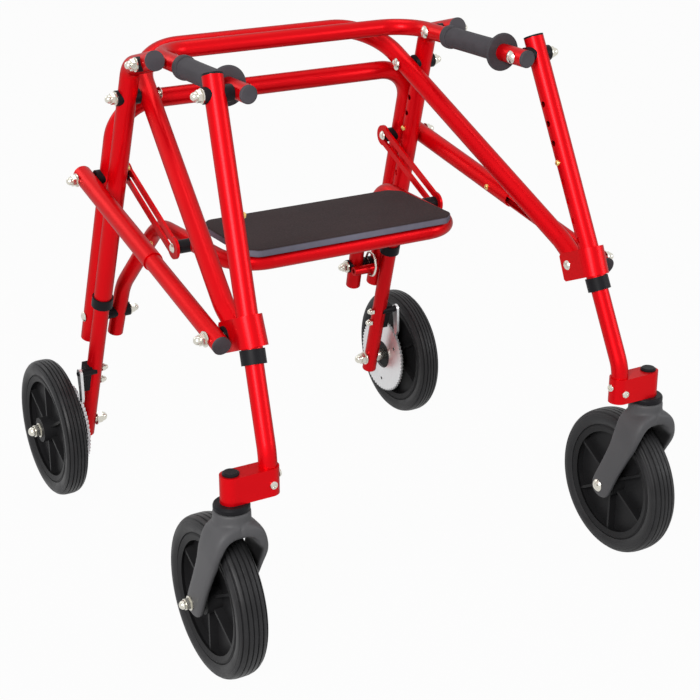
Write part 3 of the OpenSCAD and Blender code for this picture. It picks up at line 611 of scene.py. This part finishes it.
class WALKER_OT_seat(bpy.types.Operator):
    """Lay the seat board with its rounded top edge"""

    bl_idname = "walker.seat"
    bl_label = "Seat board"

    def execute(self, context):
        low, high = (np.array(corner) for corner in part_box("seat_board"))
        rings = self.board(low, high, context.scene.walker_sizes.board_round)
        piece = surface("seat_board_covered", [(rings, False, True)], smooth_angle=50.0)
        finish_piece(piece, "seat_pad", "seat", "seat_board")
        return {"FINISHED"}

    @staticmethod
    def board(low, high, rounding):
        """Rings of a rectangle with clipped corners: the ring is drawn in and lifted along a quarter circle
        at each edge, then shrinks to the middle of the top and of the bottom."""
        half = (high - low)[:2] / 2
        deep = high[2] - low[2]
        a = np.linspace(0.0, 2.0 * np.pi, BOARD_POINTS, endpoint=False) + np.pi / BOARD_POINTS
        way = np.stack([np.cos(a), np.sin(a)], 1)
        reach = np.min(np.stack([half[0] / np.abs(way[:, 0]), half[1] / np.abs(way[:, 1]),
                                 (half.sum() - BOARD_CLIP) / np.abs(way).sum(1)]), 0)
        ring = way * reach[:, None]
        q = np.linspace(0.0, np.pi / 2, 7)
        small = rounding * 0.4
        flat = np.array([0.06, 0.03])
        inset = np.concatenate([flat, small * (1 - np.sin(q)), rounding * (1 - np.cos(q)), flat[::-1]])
        lift = np.concatenate([[0.0, 0.0], small * (1 - np.cos(q)), deep - rounding * (1 - np.sin(q)),
                               [deep, deep]])
        scale = 1.0 - inset[:, None] / half[None, :]
        level = np.repeat(lift[:, None, None], BOARD_POINTS, 1)
        rows = np.concatenate([ring[None] * scale[:, None], level], 2)
        bottom, top = (np.repeat(np.array([[[0.0, 0.0, z]]]), BOARD_POINTS, 1) for z in (0.0, deep))
        return np.concatenate([bottom, rows, top]) + np.array([*(low + high)[:2] / 2, low[2]])


class WALKER_OT_grips(bpy.types.Operator):
    """Turn the two hand grips with their hand stops"""

    bl_idname = "walker.grips"
    bl_label = "Hand grips"

    def execute(self, context):
        low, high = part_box("grips")
        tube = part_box("handle_tube")
        radius = (tube[1].z - tube[0].z) / 2
        height = (low.z + high.z) / 2
        profile = self.profile(radius, high.y - low.y, (high.z - low.z) / 2)
        sheets = []
        for way in WAYS:
            centre = np.array([way * (tube[1].x - radius), low.y, height])
            sheets.append((turned(profile, centre, "Y", steps=128), True, True))
        piece = surface("grips_moulded", sheets, smooth_angle=30.0)
        finish_piece(piece, "grip_rubber", "handle", "grips")
        return {"FINISHED"}

    @staticmethod
    def profile(bore, length, stop):
        """Closed (along, radius) loop: a thin hand stop with a round rim, an elliptic fillet into a slim hand
        hold that is waisted by a sine, and a flat end bead."""
        rim, slim, inner = 0.0023, 0.0138, bore + 2e-5
        q = np.linspace(0.0, np.pi, 17)
        disc = np.stack([rim - rim * np.cos(q), stop - rim + rim * np.sin(q)], 1)
        quarter = q[:9]
        fillet = np.stack([0.016 - 0.011 * np.cos(quarter), 0.0223 - 0.0085 * np.sin(quarter)], 1)
        t = np.linspace(0.0, 1.0, 60)
        hold = np.stack([0.017 + (length - 0.0295) * t, slim - 0.0002 * np.sin(np.pi * t)], 1)
        bead = np.stack([length - 0.0058 - 0.0055 * np.cos(q), slim + 0.0018 * np.sin(q) ** 0.45], 1)
        tunnel = np.array([[length, 0.0136], [length, inner], [0.0, inner], [0.0, stop - 0.0024]])
        return np.concatenate([disc, fillet, hold, bead, tunnel])


class WALKER_OT_stage(bpy.types.Operator):
    """Set the pale floor, the soft lights and the camera"""

    bl_idname = "walker.stage"
    bl_label = "Stage, light and camera"

    def execute(self, context):
        self.floor()
        self.world(context.scene)
        for name, place, aim, size, power, colour in LAMPS:
            self.lamp(name, place, aim, size, power, colour)
        camera = bpy.data.objects.new("camera", bpy.data.cameras.new("camera"))
        camera.data.lens = FOCAL
        camera.data.sensor_width = SENSOR
        camera.location = EYE
        camera.rotation_euler = (math.radians(90.0 - LOOK_DOWN), 0.0, math.radians(LOOK_TURN))
        context.scene.collection.objects.link(camera)
        context.scene.camera = camera
        context.scene.view_settings.view_transform = "Standard"
        return {"FINISHED"}

    @staticmethod
    def lamp(name, place, aim, size, power, colour):
        """A square lamp at a place, turned to shine at its aim."""
        data = bpy.data.lights.new(name, "AREA")
        data.energy, data.size, data.color = power, size, colour
        lamp = bpy.data.objects.new(name, data)
        lamp.location = place
        step = np.subtract(aim, place)
        lamp.rotation_euler = (math.atan2(np.hypot(step[0], step[1]), -step[2]), 0.0,
                               math.atan2(step[1], step[0]) - math.pi / 2)
        bpy.context.scene.collection.objects.link(lamp)

    @staticmethod
    def floor():
        """A wide pale sheet, nearly white to the camera and in reflections, with a trace of the shadow."""
        edge = np.linspace(-FLOOR_HALF, FLOOR_HALF, 3)
        x, y = np.meshgrid(edge, edge, indexing="ij")
        sheet = surface("floor", [(np.stack([x, y, np.full_like(x, -FLOOR_DROP)], -1), False, False)])
        s = new_finish("pale_floor")
        s.set(Base_Color=(FLOOR_GREY, FLOOR_GREY, FLOOR_GREY, 1.0), Roughness=0.9)
        glow = s.node("ShaderNodeEmission", Color=(1.0, 1.0, 1.0, 1.0), Strength=1.0)
        blend = s.node("ShaderNodeMixShader").node
        for number, value in enumerate((s.seen() * FLOOR_WHITE, s.shader.outputs[0], glow)):
            s.feed(blend.inputs[number], value)
        s.feed(s.tree.nodes["Material Output"].inputs[0], blend.outputs[0])
        sheet.data.materials.append(s.owner)

    @staticmethod
    def world(scene):
        """White to the camera and in reflections, and a faint light on dull surfaces."""
        s = Shade(bpy.data.worlds.new("studio"), "Background")
        level = s.node("ShaderNodeMapRange", Value=s.seen(), To_Min=AMBIENT, To_Max=1.0)
        scene.world = s.set(Color=(1.0, 1.0, 1.0, 1.0), Strength=level)


class WALKER_PT_panel(bpy.types.Panel):
    """Lists the walker's sizes, colours and operators"""

    bl_label = "Posterior Walker"
    bl_idname = "WALKER_PT_panel"
    bl_space_type = "VIEW_3D"
    bl_region_type = "UI"
    bl_category = "Walker"

    def draw(self, context):
        for group in (context.scene.walker_sizes, context.scene.walker_look):
            for name in group.__annotations__:
                self.layout.prop(group, name)
        for operator in OPERATORS:
            self.layout.operator(operator.bl_idname)


OPERATORS = (WALKER_OT_finishes, WALKER_OT_tyres, WALKER_OT_forks, WALKER_OT_seat, WALKER_OT_grips,
             WALKER_OT_stage)
CLASSES = (WalkerSizes, WalkerLook, *OPERATORS, WALKER_PT_panel)


def register():
    for cls in CLASSES:
        bpy.utils.register_class(cls)
    bpy.types.Scene.walker_sizes = bpy.props.PointerProperty(type=WalkerSizes)
    bpy.types.Scene.walker_look = bpy.props.PointerProperty(type=WalkerLook)


def unregister():
    del bpy.types.Scene.walker_look
    del bpy.types.Scene.walker_sizes
    for cls in reversed(CLASSES):
        bpy.utils.unregister_class(cls)


def main():
    register()
    bpy.ops.walker.finishes()
    bpy.ops.walker.tyres()
    bpy.ops.walker.forks()
    bpy.ops.walker.seat()
    bpy.ops.walker.grips()
    bpy.ops.walker.stage()


if __name__ == "__main__":
    main()
